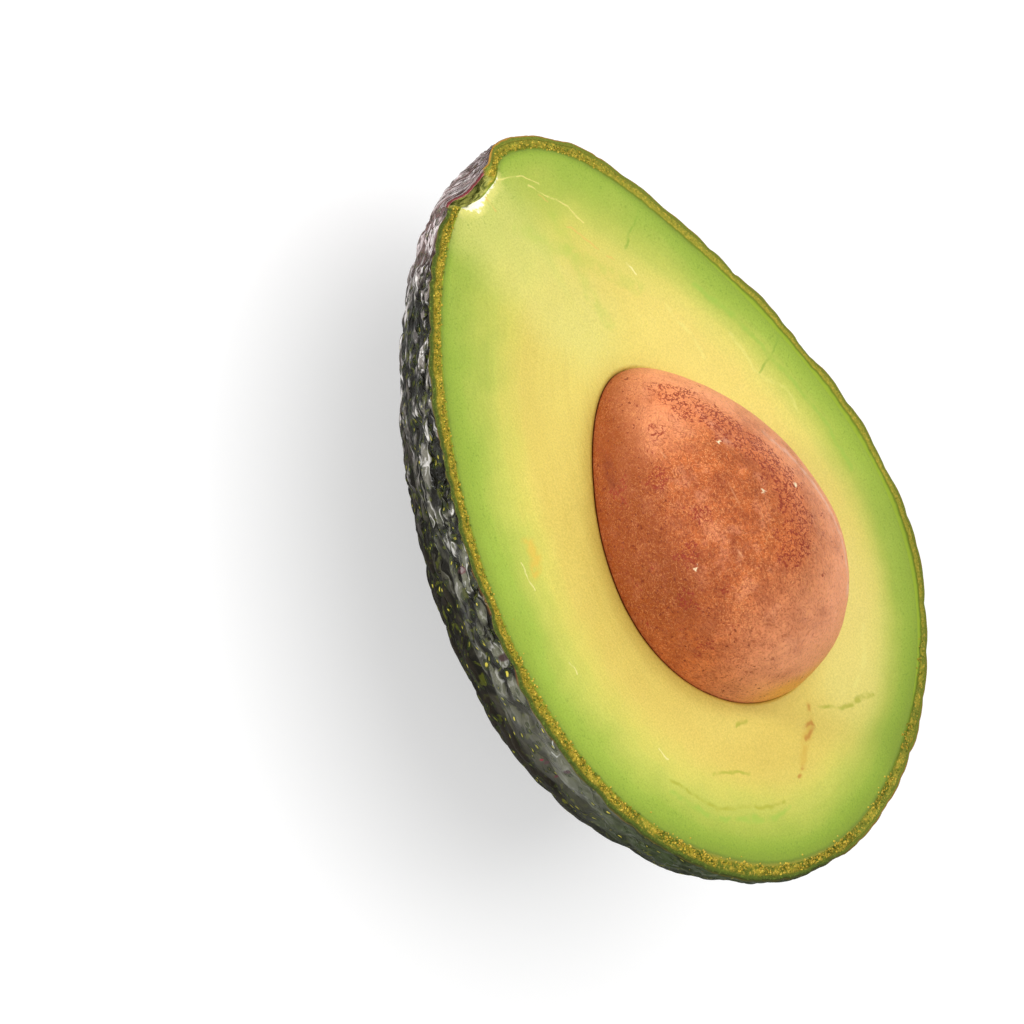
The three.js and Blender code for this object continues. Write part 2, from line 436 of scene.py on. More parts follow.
def seed_to_fruit(local):
    """From the seed's own frame to the fruit's."""
    turn = np.radians(SEED_PLACE["turn"])
    x = local[..., 0] * np.cos(turn) - local[..., 1] * np.sin(turn) + SEED_PLACE["x"]
    y = local[..., 0] * np.sin(turn) + local[..., 1] * np.cos(turn) + SEED_PLACE["y"]
    return vectors(x, y, local[..., 2])


def seat_outline(turn):
    """Where the seed's seat meets the cut face; turn is 0 at the blossom end."""
    x = (SEED_LENGTH / 2 + SEAT_GAP) * np.cos(turn)
    y = np.sign(np.sin(turn)) * seed_radius(np.abs(turn)) + SEAT_GAP * np.sin(turn)
    return seed_to_fruit(vectors(x, y, 0 * x))


def seat_depth(local):
    """How deep the seed's seat reaches below a point of the cut face."""
    part = np.clip(local[..., 0] / (SEED_LENGTH / 2), -1, 1)
    radius = seed_radius(np.arccos(part))
    return np.sqrt(np.clip(radius**2 - local[..., 1] ** 2, 0, None)) + SEAT_FLOOR_GAP


def flesh_rows():
    """Rings of points from the bottom of the seed's seat, over the cut face, to the belly."""
    steps = FLESH_STEPS
    turn = np.linspace(-np.pi, np.pi, steps["turn"], endpoint=False)
    seat = seat_outline(turn)
    side = np.where(turn >= 0, 0, np.pi)
    edge = fruit_layer(np.abs(turn), side, SKIN - FLESH_OVERLAP)
    middle = np.array([SEED_PLACE["x"], SEED_PLACE["y"], 0])

    rings = []
    hidden = np.linspace(0, 1, steps["hidden"] + 1)[1:]
    for share in hidden[::-1]:
        ring = seat + (middle - seat) * np.sin(share * np.pi / 2) ** 2
        ring[:, 2] = -seat_depth(ring - middle)
        rings.append(ring)
    for share in np.linspace(0, 1, steps["across"]):
        ring = seat + (edge - seat) * (share + RING_SHIFT * np.sin(2 * np.pi * share))
        distance = length((ring - seat)[:, :2])
        ring[:, 2] = cut_height(ring) - rounding(distance, SEAT_ROUNDING)
        ring[:, 2] += layered_noise(ring, CUT_WAVES, 6) * rise(share, 1, 0.9)
        rings.append(ring)
    for share in hidden:
        roll = side + (np.pi / 2 - side) * share
        ring = fruit_layer(np.abs(turn), roll, SKIN + FLESH_GAP)
        ring[:, 2] = np.minimum(ring[:, 2], rings[-1][:, 2] - 0.01)
        rings.append(ring)
    return np.stack(rings), turn, edge, seat


def inward_share(edge, seat):
    """The share of a step from edge to seat that leads straight inwards."""
    inward = unit(seat - edge)
    tangent = unit(np.roll(edge, -1, axis=0) - np.roll(edge, 1, axis=0))
    return np.abs(np.cross(inward[:, :2], tangent[:, :2]))


def seed_rows():
    """Rings of points round the seed, in the seed's own frame."""
    v = np.linspace(0, np.pi, SEED_STEPS["along"] + 1)[:, None]
    roll = np.linspace(0, 2 * np.pi, SEED_STEPS["around"], endpoint=False)[None, :]
    radius = seed_radius(v)
    half = SEED_LENGTH / 2
    local = vectors(half * np.cos(v), radius * np.cos(roll), radius * np.sin(roll))
    sink = 0
    for salt, (depth, size) in enumerate(SEED_RELIEF, 8):
        sink = sink + depth * (1 + value_noise(local / np.array(size), salt))
    sink = sink * rise(np.abs(local[..., 2]), 0.5, 4)
    return local * (1 - sink / length(local))[..., None]


def ring_quads(rows):
    """The faces between neighbouring rings of points, as their corners' numbers."""
    corner = np.arange(rows[..., 0].size).reshape(rows.shape[:-1])
    corner, following = corner[..., :-1, :], corner[..., 1:, :]
    beside = np.roll(corner, -1, axis=-1), np.roll(following, -1, axis=-1)
    return np.stack([corner, *beside, following], -1).reshape(-1, 4)


def weld(mesh):
    """Joins points that fall together and shades all faces smoothly, facing outwards."""
    work = bmesh.new()
    work.from_mesh(mesh)
    bmesh.ops.remove_doubles(work, verts=work.verts, dist=WELD["points"])
    bmesh.ops.dissolve_degenerate(work, edges=work.edges, dist=WELD["slivers"])
    bmesh.ops.recalc_face_normals(work, faces=work.faces)
    for face in work.faces:
        face.smooth = True
    work.to_mesh(mesh)
    work.free()


def make_mesh(name, rows, attributes, sharp=180):
    """A closed mesh from rings of points; rows may hold several such shapes.

    attributes maps a name to one number or vector for each point. Edges that turn by more
    than `sharp` degrees stay sharp.
    """
    placed = rows.reshape(-1, 3) @ PLACE[:3, :3].T + PLACE[:3, 3]
    placed = np.clip(placed, *np.array(cad_box))
    mesh = bpy.data.meshes.new(name)
    mesh.from_pydata(placed, [], ring_quads(rows))
    for key, values in attributes.items():
        vector = values.ndim == rows.ndim
        layer = mesh.attributes.new(key, "FLOAT_VECTOR" if vector else "FLOAT", "POINT")
        layer.data.foreach_set("vector" if vector else "value", values.astype("f").ravel())
    weld(mesh)
    mesh.set_sharp_from_angle(angle=np.radians(sharp))
    return mesh


def add_object(mesh, node, slot, *materials):
    """Puts a mesh into the scene as the looks of one of the frame's solids."""
    piece = bpy.data.objects.new(mesh.name, mesh)
    bpy.context.scene.collection.objects.link(piece)
    for material in materials:
        mesh.materials.append(material)
    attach(piece, "root")
    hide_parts(node)


def srgb(red, green, blue):
    """The linear colour of one that a screen shows, given as 0 to 255."""
    part = np.array([red, green, blue]) / 255
    linear = np.where(part <= 0.04045, part / 12.92, ((part + 0.055) / 1.055) ** 2.4)
    return (*linear, 1.0)


def palette(**colours):
    """Named colours, each given as a screen shows it."""
    return SimpleNamespace(**{name: srgb(*colour) for name, colour in colours.items()})


class Graph:
    """Short ways to build a material's nodes, in millimetres.

    Its place, with the parts x, y and z, is the mesh's attribute of that name.
    """

    def __init__(self, name, place="fruit"):
        self.material = bpy.data.materials.new(name)
        self.material.use_nodes = True
        self.tree = self.material.node_tree
        self.shader = self.tree.nodes["Principled BSDF"]
        self.noises = {}
        if place:
            self.place = self.vector(place)
            self.x, self.y, self.z = self.parts(self.place)

    def node(self, kind, inputs, **settings):
        made = self.tree.nodes.new("ShaderNode" + kind)
        for key, value in settings.items():
            setattr(made, key, value)
        for key, value in inputs.items():
            self.feed(made.inputs[key], value)
        return made

    def feed(self, socket, value):
        if isinstance(value, bpy.types.NodeSocket):
            self.tree.links.new(value, socket)
        else:
            socket.default_value = value

    def set(self, **inputs):
        for key, value in inputs.items():
            self.feed(self.shader.inputs[key.replace("_", " ")], value)

    def value(self, name):
        return self.node("Attribute", {}, attribute_name=name).outputs["Fac"]

    def vector(self, name):
        return self.node("Attribute", {}, attribute_name=name).outputs["Vector"]

    def parts(self, vector):
        return self.node("SeparateXYZ", {"Vector": vector}).outputs

    def join(self, x=0, y=0, z=0):
        return self.node("CombineXYZ", {"X": x, "Y": y, "Z": z}).outputs["Vector"]

    def math(self, operation, a, b=0, clamp=False):
        made = self.node("Math", {0: a, 1: b}, operation=operation, use_clamp=clamp)
        return made.outputs[0]

    def ridge(self, noise):
        """How far a noise is from 0.5, which it crosses along winding lines."""
        return self.math("ABSOLUTE", self.add(noise, -0.5))

    def add(self, *values):
        return functools.reduce(lambda a, b: self.math("ADD", a, b), values)

    def times(self, *values):
        return functools.reduce(lambda a, b: self.math("MULTIPLY", a, b), values)

    def vector_math(self, operation, a, b=(0, 0, 0), output="Vector"):
        made = self.node("VectorMath", {0: a, 1: b}, operation=operation)
        return made.outputs[output]

    def scale(self, vector, x=1, y=1, z=1):
        return self.vector_math("MULTIPLY", vector, (x, y, z))

    def noise(self, size, detail=3, rough=0.5, at=None):
        """Noise from 0 to 1 with features about `size` wide; kept for reuse."""
        at = at or self.place
        key = (at.node.name, at.identifier, size, detail, rough)
        if key not in self.noises:
            inputs = {"Vector": at, "Scale": 1 / size, "Detail": detail, "Roughness": rough}
            self.noises[key] = self.node("TexNoise", inputs).outputs["Fac"]
        return self.noises[key]

    def wander(self, size, reach, at=None):
        """A place shifted by up to about `reach` in every direction."""
        at = at or self.place
        noise = self.node("TexNoise", {"Vector": at, "Scale": 1 / size, "Detail": 2})
        shift = self.vector_math("SUBTRACT", noise.outputs["Color"], (0.5, 0.5, 0.5))
        return self.vector_math("ADD", at, self.scale(shift, *[4 * reach] * 3))

    def cells(self, vector, size):
        """Cells about `size` wide on the plane of the vector's x and y."""
        inputs = {"Vector": vector, "Scale": 1 / size}
        return self.node("TexVoronoi", inputs, voronoi_dimensions="2D").outputs

    def rise(self, value, low, high, start=0, end=1):
        """A smooth step of value, from start at low to end at high."""
        inputs = dict(enumerate((value, low, high, start, end)))
        return self.node("MapRange", inputs, interpolation_type="SMOOTHSTEP").outputs[0]

    def hump(self, value, low, high, edge):
        """1 between low and high, falling off smoothly over `edge` on either side."""
        up = self.rise(value, low - edge, low)
        return self.times(up, self.rise(value, high, high + edge, 1, 0))

    def blend(self, share, a, b):
        """A number between the numbers a and b."""
        return self.node("Mix", {0: share, 2: a, 3: b}, data_type="FLOAT").outputs[0]

    def mix(self, share, a, b, blend="MIX"):
        """A colour between the colours a and b."""
        made = self.node("Mix", {0: share, 6: a, 7: b}, data_type="RGBA", blend_type=blend)
        return made.outputs[2]

    def coats(self, colour, *coats):
        """Coats painted over a colour in turn: shares, which are multiplied, and a colour."""
        for *shares, coat in coats:
            colour = self.mix(self.times(*shares), colour, coat)
        return colour

    def ramp(self, value, stops):
        """Colours that blend into each other, each given as (value, red, green, blue)."""
        low, high = stops[0][0], stops[-1][0]
        scaled = self.node("MapRange", {0: value, 1: low, 2: high}).outputs[0]
        made = self.node("ValToRGB", {"Fac": scaled})
        points = made.color_ramp.elements
        while len(points) < len(stops):
            points.new(0.5)
        for point, (place, *colour) in zip(points, stops):
            point.position = (place - low) / (high - low)
            point.color = srgb(*colour)
        return made.outputs["Color"]

    def line_distance(self, place, points):
        """The distance to the straight lines that join the points in turn."""
        nearest = None
        for start, end in zip(points, points[1:]):
            start, step = Vector(start), Vector(end) - Vector(start)
            offset = self.vector_math("SUBTRACT", place, start)
            reach = self.vector_math("DOT_PRODUCT", offset, step / step.length_squared, "Value")
            reach = self.math("ADD", reach, 0, clamp=True)
            foot = self.node("VectorMath", {0: step, "Scale": reach}, operation="SCALE")
            away = self.vector_math("SUBTRACT", offset, foot.outputs["Vector"])
            distance = self.vector_math("LENGTH", away, output="Value")
            nearest = distance if nearest is None else self.math("MINIMUM", nearest, distance)
        return nearest

    def stroke(self, under, place, colour, width, share, points):
        """Paints a soft, worn line `width` wide through the points."""
        distance = self.line_distance(place, points)
        mask = self.rise(distance, 0.1 * width, 0.8 * width, share, 0)
        worn = self.rise(self.noise(1.6, 4, at=place), 0.36, 0.56, 0.25, 1)
        return self.mix(self.times(mask, worn), under, colour)

    def finish(self, colour, rough, specular, height, bump=1):
        """The material with these looks; height is its relief."""
        relief = self.node("Bump", {"Height": height, "Strength": bump, "Distance": MM})
        self.set(Base_Color=colour, Roughness=rough, Specular_IOR_Level=specular)
        self.set(Normal=relief.outputs["Normal"])
        return self.material


# The layers of the cut face from the skin inwards: the depth and the colour there.
CUT_COLOURS = (
    (0, 84, 76, 26),  # dark rind
    (0.12, 62, 76, 20),
    (0.45, 88, 102, 28),
    (0.75, 146, 136, 36),  # yellow, crumbly peel
    (1.1, 168, 154, 42),
    (1.6, 164, 156, 44),
    (1.85, 126, 146, 36),  # the dark green line under it
    (2.15, 146, 170, 46),  # green flesh
    (3.5, 158, 184, 56),
    (5, 169, 192, 66),
    (7, 188, 200, 80),  # turning yellow
    (9, 207, 209, 92),
    (11, 223, 214, 99),
    (14, 234, 214, 106),  # yellow flesh round the seed
    (19, 238, 218, 112),
)

# The crumbs on the cut edge, from dark peel to pale flesh, each with a tint by chance.
CRUMB_COLOURS = (
    (0.15, 58, 82, 18),
    (0.45, 104, 116, 28),
    (0.7, 156, 140, 38),
    (1.1, 190, 164, 52),
    (1.5, 226, 198, 84),
)

# Peel colours; the one for the pits between the grains is painted shade.
PEEL = palette(
    moss=(92, 112, 30), pale=(130, 138, 44), grain=(202, 174, 62), pit=(88, 92, 18),
    rind=(104, 124, 40), border=(84, 114, 28), outline=(182, 126, 50),
    lip=(150, 132, 130), brown=(92, 58, 54), red=(136, 50, 60), pink=(182, 128, 116),
)
# Skin colours. The plateau, neck and stem colours and the silvery streaks are the skin's tone
# lightened by painted sheen; the belly colours are painted shade; the groove and ditch colours
# are painted shade in hollows; glint and lip are painted highlights.
RIND = palette(
    plateau=(92, 92, 76), neck=(116, 108, 104), stem=(182, 168, 168), blossom=(54, 66, 34),
    belly=(26, 20, 10), low_blossom=(20, 24, 9), furrow=(72, 66, 60), silver=(220, 214, 212),
    glint=(206, 202, 198), lip=(222, 218, 214), groove=(12, 10, 2), moss=(92, 98, 14),
    stem_groove=(104, 80, 76), ditch=(34, 44, 12), dark_pore=(88, 94, 24),
    light_pore=(196, 182, 66), blotch=(140, 142, 26), edge=(136, 92, 44),
    scratch=(196, 198, 190),
)
# Flesh colours. Some are painted light and shade: a paler tint for the +y side, darker tints
# for the ends, the blossom's outer layers and the -y side by the seed, and a shadow cast by the
# seed.
FLESH = palette(
    peach=(232, 198, 96), pool=(238, 230, 134), warm=(222, 190, 84), sunny=(255, 232, 136),
    dim=(240, 242, 236), green=(246, 248, 230), dot=(122, 152, 40), shade=(186, 142, 46),
    glow=(238, 228, 130), frayed=(252, 248, 214), dark_floor=(80, 88, 26),
    light_floor=(172, 172, 88),
)
# Seed colours; the dark one for the -y side and lower part is painted shade, and the pale
# streak along the upper edge a painted highlight.
SEED = palette(
    dark=(140, 56, 10), light=(198, 100, 38), pale=(248, 164, 116), left=(140, 64, 18),
    crescent=(246, 176, 70), bloom=(226, 150, 110), felt=(238, 162, 100),
    speck=(108, 34, 14), dark_fibre=(122, 46, 16), pale_fibre=(168, 84, 44),
    scratch=(226, 160, 112), haze=(240, 196, 172), smear=(116, 44, 20), warm=(226, 116, 56),
    net=(136, 42, 22), fleck=(240, 218, 178),
)


def cut_depth(g, depth):
    """Depth below the skin, as the colours see it: the peel is thinner on the +y side.

    Towards the stem end the flesh is pale green at once and hardly turns yellow.
    """
    thin = g.times(g.rise(g.y, -20, 25), g.rise(g.x, -32, -14))
    rough = g.times(g.add(g.noise(1.3, 2), -0.5), 0.35)
    layer = g.add(g.times(depth, g.add(g.times(thin, 0.18), 1)), rough)
    layer = g.add(layer, g.times(thin, g.rise(depth, 0.2, 1.1), g.rise(depth, 3.6, 1.6), 0.36))
    thick = g.times(g.rise(g.x, 30, 46), g.rise(layer, 6, 3), -0.22)
    layer = g.times(layer, g.add(thick, 1))
    neck = g.times(g.rise(g.x, -18, -44), g.rise(layer, 2, 3.2))
    return g.blend(neck, layer, g.add(g.times(layer, 0.45), 3.6))


def peel_grain(g, layer, colour):
    """Yellow grains on the cut peel, with painted shade in the pits between them. Also their
    relief.
    """
    side = g.rise(g.y, -8, 6)
    crumb = g.noise(0.42, 3, 0.7)
    moss = g.times(g.rise(g.noise(1.6), 0.44, 0.54), g.rise(g.x, 24, 36))
    band = g.times(g.hump(layer, 0.6, 1.6, 0.2), g.rise(g.value("rugged"), 0, 1, 0.6, 1))
    rind = g.hump(layer, 0.15, 0.6, 0.12)
    colour = g.coats(
        colour,
        (moss, g.hump(layer, 0.5, 1.6, 0.25), 0.8, PEEL.moss),
        (side, g.rise(layer, 1.6, 0.6, 0.35, 0.75), g.rise(layer, 1.8, 1.6), PEEL.pale),
        (band, g.rise(crumb, 0.5, 0.62), PEEL.grain),
        # Painted shade in the pits between the grains.
        (band, g.rise(crumb, 0.42, 0.32), PEEL.pit),
        (rind, g.rise(crumb, 0.52, 0.66), PEEL.rind),
        (side, g.hump(layer, 1.7, 1.85, 0.2), 0.45, PEEL.border),
        (side, g.rise(layer, 0.3, 0.1, 0, 0.8), PEEL.outline),
    )
    return colour, g.times(crumb, g.add(band, rind))


def skin_regions(g):
    """The shares of neck, stem end, blossom end and belly, with uneven borders."""
    tone = g.noise(9, 4)
    neck = g.rise(g.add(g.x, g.times(tone, 20)), 2, -34)
    stem = g.rise(g.add(g.x, g.times(tone, 6)), -37, -46)
    blossom = g.rise(g.add(g.x, g.times(tone, 16)), 24, 50)
    belly = g.rise(g.add(g.z, g.times(tone, 8)), 2, -7)
    return neck, stem, blossom, belly


def skin_tone(g, regions):
    """The skin's colour between its grooves: grey above, which is painted sheen, paler painted
    sheen with silvery streaks at the neck, pale lilac at the stem end, its own tone lightened
    by painted sheen, and darker below, which is painted shade.
    """
    neck, stem, blossom, belly = regions
    # Streaks of painted sheen for the neck.
    streaks = g.noise(1.3, at=g.scale(g.vector("surface"), 0.25))
    silver = g.mix(g.rise(streaks, 0.47, 0.6), RIND.furrow, RIND.silver)
    return g.coats(
        g.mix(belly, RIND.plateau, RIND.belly),
        (neck, g.mix(belly, RIND.neck, silver)),
        (stem, RIND.stem),
        (blossom, g.mix(belly, RIND.blossom, RIND.low_blossom)),
    )


def skin_outside(g):
    """The skin outside, wound round the fruit and laid flat at the blossom end's pole."""
    wound = g.vector("surface")
    flat = g.join(g.z, g.y, g.parts(wound)[2])
    regions = skin_regions(g)
    tone = skin_tone(g, regions)
    wound_colour, wound_height = skin_pattern(g, wound, tone, regions)
    flat_colour, flat_height = skin_pattern(g, flat, tone, regions)
    share = g.rise(g.add(g.x, g.times(g.noise(3), 6)), 44.8, 46)
    colour = g.mix(share, wound_colour, flat_colour)
    neck, _, blossom, belly = regions
    dull = g.times(g.math("MAXIMUM", belly, blossom), g.rise(neck, 0, 1, 1, 0.2))
    return colour, g.blend(share, wound_height, flat_height), g.blend(dull, 0.25, 0.9)


def skin_pattern(g, surface, tone, regions):
    """Colour and relief on a surface laid round the fruit: plateaus, grooves and pores, with
    painted shade in the hollows and painted highlights on the relief.
    """
    neck, stem, blossom, belly = regions
    relief = g.parts(surface)[2]
    surface = g.wander(4, 0.7, surface)
    calm = g.rise(g.x, -10, 16, 1, 0.15)

    dome = g.rise(g.cells(g.scale(surface, 0.4), 1.9)["Distance"], 0.7, 0.1)
    winding = g.noise(2.2, 2, at=g.scale(surface, 0.32))
    crease = g.times(g.rise(g.ridge(winding), 0.05, 0), calm)
    high = g.add(g.times(relief, 1.2), g.times(dome, 0.3), g.times(crease, -0.4))
    # Painted shade darkens the grooves, the creases and the fine hollows.
    groove = g.times(g.rise(high, 0.25, -0.15), g.rise(g.x, 6, 20, 1, 0.5))
    fine = g.noise(0.9, at=g.scale(surface, 0.5))
    groove = g.math("MAXIMUM", groove, g.times(g.rise(fine, 0.46, 0.38), calm, 0.8))
    # Painted highlights: glints on the fine relief, and a bright lip along the edge of each
    # crease.
    glint = g.times(g.rise(fine, 0.56, 0.64), g.rise(neck, 0, 0.8, 0.35, 0.9), calm)
    lip = g.times(g.hump(winding, 0.56, 0.575, 0.012), g.rise(belly, 0.8, 0.1), calm, 0.5)
    moss = g.rise(g.noise(1.1, at=surface), 0.55, 0.65, 0, 0.4)
    # The colour in the grooves is painted shade, with moss in places.
    deep = g.mix(moss, RIND.groove, RIND.moss)
    colour = g.coats(
        tone,
        (glint, g.rise(belly, 0.6, 0.1), RIND.glint),
        (lip, RIND.lip),
        (groove, g.mix(stem, deep, RIND.stem_groove)),
    )
    colour, raised, ditch = skin_pores(g, surface, colour, neck)
    blotch = g.times(g.rise(g.noise(1.5, at=surface), 0.6, 0.68), blossom, belly)
    patches = g.rise(g.noise(4, 2), 0.54, 0.64, 0, 0.6)
    edge = g.times(g.rise(g.z, -0.5, -0.15), g.rise(g.y, -6, 6, patches, 0.7))
    colour = g.coats(colour, (blotch, 0.8, RIND.blotch), (edge, RIND.edge))
    height = g.add(g.times(dome, 0.3), g.times(crease, -0.35), g.times(raised, 0.16))
    return colour, g.add(height, g.times(fine, calm, 0.5), g.times(ditch, -0.1))


def skin_pores(g, surface, colour, neck):
    """Raised yellow green pores, each in a ditch darkened by painted shade; also the shares of
    both.
    """
    pores = g.cells(g.scale(surface, 0.5), 1.35)
    pick, shade, _ = g.parts(pores["Color"])
    radius = g.rise(pick, 0.2, 1, 0.02, 0.12)
    inside = g.math("SUBTRACT", radius, pores["Distance"])
    ditch = g.hump(inside, -0.14, -0.05, 0.06)
    heart = g.times(g.rise(inside, -0.03, 0.04), g.rise(neck, 0, 1, 0.85, 0.4))
    pore = g.mix(shade, RIND.dark_pore, RIND.light_pore)
    # The ditch round each pore is painted shade.
    colour = g.coats(colour, (ditch, 0.6, RIND.ditch), (heart, pore))
    return colour, g.rise(inside, -0.06, 0.04), ditch


# Single marks on the skin: the place, the radius and the colour, and two scratches.
SKIN_SPOTS = (
    ((-7.7, -32.3, -2.7), 0.8, (92, 56, 60)),
    ((-7.7, -32.3, -2.7), 0.5, (118, 106, 104)),
    ((4.6, -34, -1), 0.8, (44, 18, 20)),
    ((19.4, -33.7, -6.4), 0.22, (132, 26, 52)),
    ((20, -33.5, -6), 0.35, (70, 50, 50)),
    ((21.8, -34, -2), 0.45, (70, 46, 48)),
    ((22.4, -32.8, -6.6), 0.3, (86, 44, 48)),
)
SKIN_SCRATCHES = (
    ((17.1, 0, -0.3), (17.6, 0, -0.9), (18.1, 0, -1)),
    ((18.5, 0, -2), (19.4, 0, -1.8), (19.2, 0, -0.9)),
)


def paint_skin(g, colour):
    """A scab, a few reddish spots and two scratches on the skin's -y side."""
    winding = g.wander(1, 0.15)
    for middle, radius, tint in SKIN_SPOTS:
        away = g.vector_math("SUBTRACT", winding, middle)
        away = g.vector_math("LENGTH", g.scale(away, 1.2, 0.6, 0.5), output="Value")
        colour = g.mix(g.rise(away, radius, 0.6 * radius, 0, 0.85), colour, srgb(*tint))
    flat = g.join(g.x, 0, g.z)
    share = g.rise(g.y, -8, -10, 0, 0.8)
    for points in SKIN_SCRATCHES:
        colour = g.stroke(colour, flat, RIND.scratch, 0.16, share, points)
    return colour


def skin_material():
    g = Graph("avocado_skin")
    colour, height, rough = skin_outside(g)
    return g.finish(paint_skin(g, colour), rough, specular=0.15, height=height)


def rim_material():
    """The skin where it is cut: layers, and a reddish lip behind the stalk's hole."""
    g = Graph("avocado_skin_cut")
    depth = g.value("depth")
    layer = cut_depth(g, depth)
    colour, grain = peel_grain(g, layer, g.ramp(layer, CUT_COLOURS))
    ragged = g.add(depth, g.times(g.add(g.noise(0.6), -0.5), 0.3))
    lip = g.coats(
        PEEL.lip,
        (g.rise(ragged, 0.08, 0.2), PEEL.brown),
        (g.rise(ragged, 0.22, 0.3), PEEL.red),
        (g.rise(ragged, 0.4, 0.48), PEEL.pink),
        (g.rise(ragged, 0.5, 0.58), hole_floor(g)),
    )
    colour = g.mix(g.rise(g.value("hole"), 0.1, -0.2), colour, lip)
    return g.finish(colour, rough=0.75, specular=0.2, height=grain, bump=0.6)


def crumb_material():
    g = Graph("peel_crumbs")
    tint = g.add(g.value("tint"), g.times(g.noise(0.3, 2), 0.6))
    colour = g.ramp(tint, CRUMB_COLOURS)
    height = g.times(g.noise(0.12, 2), 0.1)
    return g.finish(colour, rough=0.7, specular=0.2, height=height)


def flesh_colour(g, layer, streak):
    """Green under the skin, yellow towards the seed, with long soft streaks, and with painted
    light and shade: paler on the +y side, darker towards the ends and on the -y side by the
    seed.
    """
    cloud = g.noise(11)
    lobe = g.noise(4.5, 2)
    shift = g.add(g.times(streak, 2.4), g.times(cloud, 4.4), g.times(lobe, 2.4), -4.6)
    wobble = g.rise(layer, 2.2, 6)
    colour = g.ramp(g.add(layer, g.times(shift, wobble)), CUT_COLOURS)
    peach = g.times(g.rise(g.noise(8), 0.5, 0.7), g.rise(layer, 7, 12))
    colour = g.mix(g.times(peach, 0.12), colour, FLESH.peach)
    winding = g.wander(7, 1.2)
    for points in PALE_POOLS:
        pool = g.rise(g.line_distance(winding, points), 9, 2, 0, 0.6)
        colour = g.mix(pool, colour, FLESH.pool)
    # Painted shade: a warmer, darker tone by the seed on its -y side and at its blossom end.
    warm = g.rise(g.add(g.y, g.times(cloud, 8)), 4, -12, 0, 0.3)
    warm = g.math("MAXIMUM", warm, g.times(g.rise(g.x, 26, 34), g.rise(g.y, 8, 0), 0.5))
    # Painted light: the +y side, towards the light, is paler.
    sunny = g.times(g.rise(g.y, 2, 14), g.rise(layer, 7, 12), 0.35)
    colour = g.coats(
        colour, (warm, g.rise(layer, 11, 17), FLESH.warm), (sunny, FLESH.sunny)
    )
    # Painted shade: darker towards both ends, where the light falls off.
    dim = g.add(g.rise(g.x, 26, 44, 0, 0.8), g.rise(g.x, -8, -32, 0, 0.9))
    colour = g.mix(dim, colour, FLESH.dim, "MULTIPLY")
    # Painted shade: the outer layers at the blossom end are a little darker.
    green = g.times(g.rise(g.x, 20, 40), g.rise(layer, 10, 4))
    return g.mix(green, colour, FLESH.green, "MULTIPLY")


def flesh_grain(g, layer, colour, grain):
    """Green dots under the skin, a painted shadow beside the seed and a fine grain."""
    dots = g.times(g.rise(g.noise(0.5, 3, 0.6), 0.44, 0.34), g.hump(layer, 2, 5, 2))
    side = g.rise(g.y, 3, -8, 0.08, 0.4)
    # Painted shadow that the seed casts on the flesh beside it, strongest on the -y side.
    seed_shadow = g.times(g.rise(g.value("seat"), 3.2, 0), side)
    colour = g.coats(colour, (dots, 0.3, FLESH.dot), (seed_shadow, FLESH.shade))
    shade = g.ramp(grain, ((0.3, 226, 228, 212), (0.7, 255, 255, 255)))
    return g.mix(0.9, colour, shade, "MULTIPLY")


def flesh_material():
    g = Graph("avocado_flesh")
    layer = cut_depth(g, g.value("depth"))
    streak = g.noise(1.8, 4, 0.55, g.join(g.times(g.value("along"), 0.09), layer))
    grain = g.noise(0.25, 3, 0.7)
    colour = flesh_colour(g, layer, streak)
    colour = flesh_grain(g, layer, colour, grain)
    colour = paint_hole(g, colour)
    colour = paint_flesh(g, colour)
    height = g.add(g.times(grain, 0.06), g.times(streak, 0.12))
    g.set(Subsurface_Weight=0.15, Subsurface_Scale=2 * MM, Subsurface_Radius=(1, 0.9, 0.3))
    return g.finish(colour, rough=0.5, specular=0.28, height=height, bump=0.6)


def paint_flesh(g, colour):
    """Strands, bruises and scratches on the cut face, each a line."""
    x, y, _ = g.parts(g.wander(1.2, 0.15, g.wander(5, 0.6, g.join(g.x, g.y))))
    flat = g.join(x, y)
    for tint, width, share, lines in FLESH_MARKS:
        for points in lines:
            points = [(*point, 0) for point in points]
            colour = g.stroke(colour, flat, srgb(*tint), width, share, points)
    return colour


# Creamy parts of the cut face, each round a line.
PALE_POOLS = (((-45, -3, 0), (-26, 2, 0)), ((20, 18, 0), (27, 16, 0), (33, 12, 0)))

